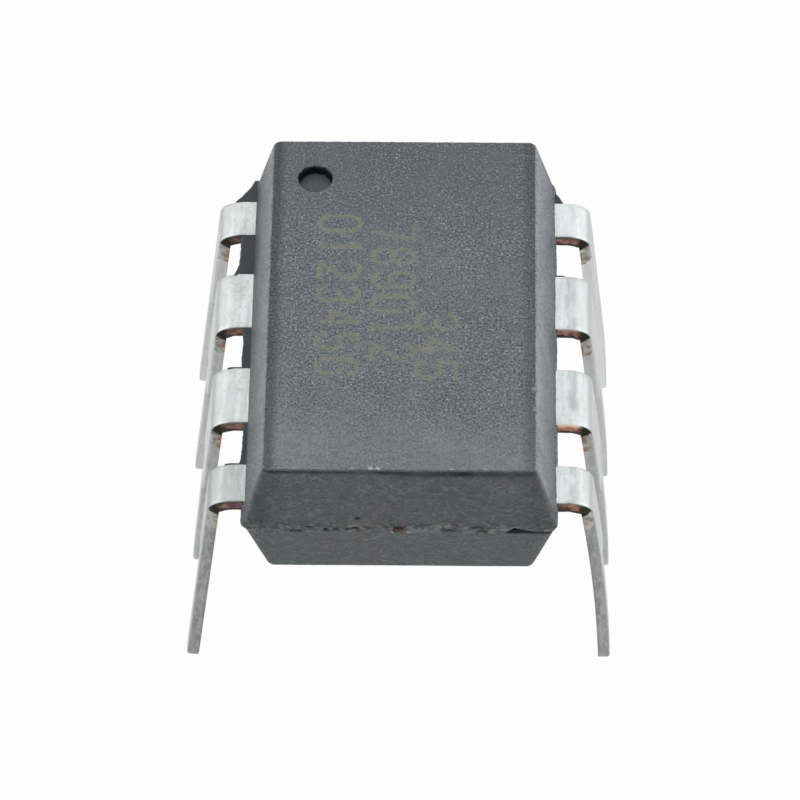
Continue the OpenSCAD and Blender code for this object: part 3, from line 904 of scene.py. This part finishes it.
def centre_line(row, splay, bow):
    """Points (x, z, angle, run) along the middle of the sheet, from the finger's end outward.

    The angle is that of the outer normal above the horizontal, and the run is the distance
    from the shoulder's root."""
    start = END_FINGER[0] - FINGER_HALF if abs(row) > 1 else SIDE_FINGER
    turn_from = bend_start(splay)
    line = [(x, 0.0, pi / 2, x - ROOT_X) for x in np.arange(start, turn_from, 0.04)]
    x, z, turn, run = turn_from, 0.0, pi / 2, turn_from - ROOT_X
    lean = radians(splay)
    while turn > lean + 1e-6:
        radius = DROOP_RADIUS if pi / 2 - turn < radians(DROOP_TURN) - 1e-6 else TIGHT_RADIUS
        step = min(radians(2.5 if radius == DROOP_RADIUS else 4), turn - lean)
        x += radius * (cos(turn - step) - cos(turn))
        z += radius * (sin(turn - step) - sin(turn))
        turn -= step
        run += radius * step
        line.append((x, z, turn, run))
    while z > -TIP_DROP:
        step = 0.04 if z > 2 * TIP_ROUND - TIP_DROP else 0.012
        turn = turn - step / bow if bow else turn
        x += step * sin(turn)
        z -= step * cos(turn)
        run += step
        line.append((x, z, turn, run))
    return line


def finger_edges(row, x):
    """Low and high edge of the finger inside the body at x, for a row above the middle."""
    half = FINGER_HALF
    if row > 1:
        end_x, end_y = END_FINGER
        low = np.interp(x, [end_x + half, ROOT_X - 0.2], [end_y + half, low_edge(row)])
        low = end_y if x < end_x + half else low
        high = np.interp(x, [end_x - half, ROOT_X - 0.6], [end_y + 2 * half, high_edge(row)])
        return low, high
    centre = row * PITCH
    low = np.interp(x, [SIDE_FINGER + 0.2, ROOT_X], [centre - half, low_edge(row)])
    high = np.interp(x, [SIDE_FINGER + 0.2, ROOT_X - 0.2], [centre + half, high_edge(row)])
    return low, high


def section(low, high, half, roll):
    """Closed section of the sheet as (y, n, edge), with n along the outer normal.

    The outer corners are rolled over by the punch and the inner ones are sharper."""
    side = []
    for k in (1, 2, 3):
        turn = k / 3 * pi / 2
        side.append((roll * (1 - sin(turn)), half - roll * (1 - cos(turn)), k / 3))
    side += [(0, 0.35 * half, 1.0), (0, -0.3 * half, 1.0)]
    for k in (0, 1, 2):
        turn = k / 2 * pi / 2
        side.append((SHARP_EDGE * (1 - cos(turn)), SHARP_EDGE * (1 - sin(turn)) - half,
                     1 - k / 2))
    outer = [(y, half, 0.0) for y in np.linspace(low + roll, high - roll, 13)]
    inner = [(y, -half, 0.0) for y in np.linspace(high - SHARP_EDGE, low + SHARP_EDGE, 13)]
    return (outer + [(high - inset, n, edge) for inset, n, edge in side] + inner[1:-1]
            + [(low + inset, n, edge) for inset, n, edge in reversed(side)])


def lead_edges(row, x, z, run):
    """Low and high edge of the lead at a point of its centre line."""
    far = abs(row)
    if run < 0:
        low, high = finger_edges(far, x)
    else:
        low, high = low_edge(far), high_edge(far)
        middle = far * PITCH
        leave = smooth(0.0, 0.07, -SEAT_DROP - z)
        narrow = 1 - np.sqrt(1 - leave ** 2) if leave < 1 else 1
        low += (middle - LEG_WIDTH / 2 - low) * narrow
        high += (middle + LEG_WIDTH / 2 - high) * narrow
        tip = max(0.0, (TIP_TAPER - TIP_DROP - z) / TIP_TAPER)
        low += (LEG_WIDTH - TIP_WIDTH) / 2 * tip
        high -= (LEG_WIDTH - TIP_WIDTH) / 2 * tip
    return (-high, -low) if row < 0 else (low, high)


def build_lead(number, side, row, splay, bow, material):
    """One lead. row is its place along the body, in pitches."""
    lead = number - 1
    line = centre_line(row, splay, bow)
    stub_from = next(run for x, z, turn, run in line if turn < radians(splay) + 0.01)
    stub_to = stub_from + STUB_LENGTH
    loops, edge, runs, scar, through = [], [], [], [], []

    def mottled(place):
        return (smooth(stub_from - 0.04, stub_from + 0.08, place)
                * smooth(stub_to + 0.1, stub_to - 0.14, place))

    for x, z, turn, run in line:
        low, high = lead_edges(row, x, z, run)
        on_stub = smooth(stub_from - 0.01, stub_from + 0.03, run)
        on_stub *= smooth(stub_to + 0.01, stub_to - 0.03, run)
        end = 1 - min(max(z + TIP_DROP, 0) / TIP_ROUND, 1)
        end = TIP_ROUND * (1 - (1 - end ** 2) ** 0.5)
        half = SHEET / 2 - 0.9 * end
        down = max(0.0, (-SHIFT_DROP - z) / (TIP_DROP - SHIFT_DROP))
        shift = TIP_SHIFT[lead] * down ** 1.15
        fall = -z / TIP_DROP
        hollow = smooth(0.0, 0.35, fall) * smooth(0.88, 0.42, fall)
        x += TIP_OUT[lead] * down ** 2 - LEG_HOLLOW[lead] * hollow
        nick = smooth(0.0, 0.1, run) * (0.006 * rough(run, number, 0.0, 7))
        low += 0.6 * end + nick + shift
        high += 0.005 * rough(run, number, 7.0, 6) - 0.6 * end + shift
        high += FAR_EXTRA[lead] * smooth(0.0, 0.05, run) * smooth(-SEAT_DROP, 0.1 - SEAT_DROP, z)
        roll = SHOULDER_ROLL + (LEG_ROLL - SHOULDER_ROLL) * smooth(-0.1, -0.5, z)
        drawn = smooth(0.6, 0.72, run) * smooth(stub_from + 0.02, stub_from - 0.2, run)
        loop = []
        for y, n, share in section(low, high, half, roll):
            ragged = 0.65 + 0.35 * rough(run, n, y + number, 9)
            out = on_stub * share * STUB_RISE * ragged
            y += out if y > (low + high) / 2 else -out
            if n < -0.5 * half and y < low + 0.02:
                n -= SHEAR_DROP * drawn * (1 + 0.3 * rough(run, number, 3.0, 5))
            n += 0.0025 * rough(x, y, z, 2.5) * (n > 0)
            loop.append((side * (x + n * cos(turn)), y, max(z + n * sin(turn), -TIP_DROP)))
            edge.append(share)
            runs.append(run - stub_from + RUN_AT_STUB + 0.05 * n / half)
            scar.append(mottled(run + 0.07 * n / half))
            through.append(n / half)
        loops.append(loop)
    attributes = {"edge": edge, "run": runs, "scar": scar, "through": through}
    for key, value in zip(FINISH_NAMES, FINISH[lead]):
        attributes[key] = [value] * len(runs)
    piece = sweep("tinned_lead_%d" % number, loops, material, attributes, side < 0)
    stand_for(piece, "lead_%d" % number)


# Paddle

PADDLE_HALF = (1.3, 1.7)
PADDLE_STEP = 0.01
TIE_HALF = 0.15
TIE_END = HALF_LENGTH + 0.016
TIE_WEAR = 0.03
PADDLE_ROLL = 0.02


def build_paddle(material):
    """The die paddle with its two tie bars, whose cut ends are a little worn."""
    ys = np.concatenate([TIE_END - np.array([0, 0.004, 0.012, TIE_WEAR]),
                         np.linspace(4.5, PADDLE_HALF[1], 20)])
    ys[-1] += PADDLE_STEP
    stations = [(-y, TIE_HALF) for y in ys]
    stations += [(y, PADDLE_HALF[0]) for y in np.linspace(-PADDLE_HALF[1], PADDLE_HALF[1], 30)]
    stations += [(y, TIE_HALF) for y in ys[::-1]]
    loops, cut = [], []
    for y, half_x in stations:
        worn = TIE_WEAR * smooth(TIE_WEAR, 0.0, TIE_END - abs(y))
        loop = section(-half_x + worn, half_x - worn, SHEET / 2 - worn, PADDLE_ROLL)
        loops.append([(-x, y, n) for x, n, _ in loop])
        cut += [float(abs(y) > TIE_END - 0.05)] * len(loop)
    paddle = sweep("copper_paddle", loops, material, {"cut": cut}, False)
    stand_for(paddle, "die_paddle")


# Light, floor and camera

FLOOR_SIZE = 1.2
FLOOR_WHITE = 0.97
FLOOR_GREY = 0.75
WORLD_STRENGTH = 0.42
LAMPS = (
    ("left_lamp", (-0.6, 0.03, 0.34), 1.1, 0.6, 2.75),
    ("right_lamp", (0.6, 0.03, 0.34), 1.1, 0.6, 2.75),
    ("far_lamp", (0.0, 0.5, 0.5), 0.6, 0.4, 0.5),
)
CAMERA_PLACE = (1.5567, -73.8241, 88.954)
CAMERA_PIXELS = 5575.9
IMAGE_PIXELS = 800
SENSOR_WIDTH = 36
# Height above the horizontal, turn round the object and roll, in degrees
CAMERA_ANGLES = (50.787, 1.259, -0.606)


def build_camera():
    """The camera fitted to the photo. Its place is in mm about the parting plane."""
    height, turn, roll = map(radians, CAMERA_ANGLES)
    back = Vector((sin(turn) * cos(height), -cos(turn) * cos(height), sin(height)))
    level = Vector((cos(turn), sin(turn), 0))
    above = back.cross(level)
    right = cos(roll) * level + sin(roll) * above
    up = cos(roll) * above - sin(roll) * level
    data = bpy.data.cameras.new("photo_camera")
    data.sensor_width = SENSOR_WIDTH
    data.lens = CAMERA_PIXELS / IMAGE_PIXELS * SENSOR_WIDTH
    data.clip_start = 0.005
    data.clip_end = 5
    camera = add_object("photo_camera", data)
    turned = Matrix((right, up, back)).transposed().to_4x4()
    x, y, z = CAMERA_PLACE
    camera.matrix_world = Matrix.Translation((x * MM, y * MM, (z + PARTING) * MM)) @ turned
    bpy.context.scene.camera = camera


def white_when_seen(owner, plain_kind, white_kind, output_kind, share):
    """Nodes of the floor or the world, whose plain node it returns.

    Rays from the camera, from a reflection or through something clear see a share of white."""
    owner.use_nodes = True
    tree = owner.node_tree
    tree.nodes.clear()
    path = add_node(tree, "LightPath").outputs
    seen = path["Is Camera Ray"]
    for other in ("Is Glossy Ray", "Is Transmission Ray"):
        seen = add_node(tree, "Math", {0: seen, 1: path[other]}, operation="MAXIMUM").outputs[0]
    part = add_node(tree, "Math", {0: seen, 1: share}, operation="MULTIPLY")
    plain = add_node(tree, plain_kind, {"Color": (1, 1, 1, 1)})
    white = add_node(tree, white_kind, {"Color": (1, 1, 1, 1)})
    mix = add_node(tree, "MixShader", {
        0: part.outputs[0], 1: plain.outputs[0], 2: white.outputs[0]})
    add_node(tree, output_kind, {0: mix.outputs[0]})
    return plain


def build_floor():
    mesh = bpy.data.meshes.new("floor")
    half = FLOOR_SIZE / 2
    corners = [(-half, -half, 0), (half, -half, 0), (half, half, 0), (-half, half, 0)]
    mesh.from_pydata(corners, [], [(0, 1, 2, 3)])
    material = bpy.data.materials.new("white_floor")
    paper = white_when_seen(material, "BsdfDiffuse", "Emission", "OutputMaterial", FLOOR_WHITE)
    paper.inputs["Color"].default_value = (FLOOR_GREY, FLOOR_GREY, FLOOR_GREY, 1)
    mesh.materials.append(material)
    add_object("floor", mesh)


def build_world():
    world = bpy.data.worlds.new("studio")
    sky = white_when_seen(world, "Background", "Background", "OutputWorld", 1)
    sky.inputs["Strength"].default_value = WORLD_STRENGTH
    bpy.context.scene.world = world


def build_lamp(name, place, width, height, power):
    """A soft rectangular lamp, in metres, that faces the object."""
    data = bpy.data.lights.new(name, "AREA")
    data.shape = "RECTANGLE"
    data.size = width
    data.size_y = height
    data.energy = power
    lamp = add_object(name, data)
    lamp.location = place
    lamp.rotation_euler = (-Vector(place)).to_track_quat("-Z", "Y").to_euler()


def dress(node, material):
    """Gives a CAD node that is right as it is its finish."""
    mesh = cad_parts[node].data
    mesh.materials.clear()
    mesh.materials.append(material)


build_camera()
epoxy = moulding_material()
resin = flash_material()
tin = tin_material()
build_body(epoxy)
for place in range(4):
    build_lead(1 + place, -1, 1.5 - place, LEFT_SPLAY, 0, tin)
for place in range(4):
    build_lead(5 + place, 1, place - 1.5, RIGHT_SPLAY, BOW_RADIUS, tin)

FLASH = (
    ("flash_lead_1", -1, ((4.63, 0.03), (4.48, 0.1), (4.32, 0.2), (4.15, 0.32), (4.045, 0.41))),
    ("flash_leads_1_2", -1, ((3.1, 0.28), (2.6, 0.28), (2.3, 0.29), (2.1, 0.36), (1.985, 0.4))),
    ("flash_leads_2_3", -1, ((0.56, 0.17), (0.2, 0.14), (-0.2, 0.16), (-0.56, 0.16))),
    ("flash_leads_3_4", -1, ((-1.98, 0.07), (-2.6, 0.08), (-2.9, 0.1), (-3.095, 0.14))),
    ("flash_lead_8", 1, ((4.32, 0.03), (4.2, 0.11), (4.045, 0.18))),
    ("burr_lead_3", -1, ((-0.505, 0.36), (-0.52, 0.42), (-0.53, 0.44))),
    ("burr_lead_4", -1, ((-3.045, 0.3), (-3.06, 0.4), (-3.07, 0.43))),
    ("burr_lead_7", 1, ((2.035, 0.14), (2.025, 0.2), (2.015, 0.22))),
)
for name, side, outline in FLASH:
    build_flash(name, side, outline, resin)

build_paddle(sheet_copper_material())
dress("die_attach", silver_epoxy_material())
dress("silicon_die", silicon_material())
gold = gold_material()
for number in range(1, 9):
    dress("bond_wire_%d" % number, gold)

build_floor()
build_world()
for lamp in LAMPS:
    build_lamp(*lamp)
bpy.context.scene.view_settings.view_transform = "Standard"
